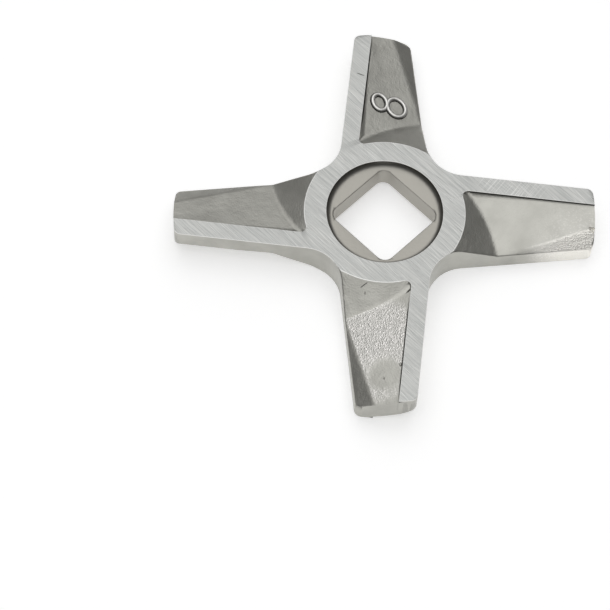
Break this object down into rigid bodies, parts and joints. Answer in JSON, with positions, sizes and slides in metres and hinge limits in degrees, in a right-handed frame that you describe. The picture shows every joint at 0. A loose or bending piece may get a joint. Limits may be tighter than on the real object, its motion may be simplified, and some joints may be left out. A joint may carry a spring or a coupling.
{
  "type": "meat grinder knife",
  "caption": "Cast cross-shaped cutting knife for a meat grinder, with flat ground cutting strips, relieved arms and a square drive hole in a dished hub.",
  "frame": {"origin": "on the axis of the square hole, at the back face that the knife rests on", "axes": "+Z along the drive axis, out of the ground cutting face; X and Y square to the flats of the drive hole"},
  "size_m": [0.0442, 0.0442, 0.005],
  "materials": {
    "stainless_steel": "ground on the cutting face and the hub ring, as cast and blasted elsewhere"
  },
  "bodies": {
    "root": {"grinder_knife": "stainless_steel"}
  },
  "joints": []
}
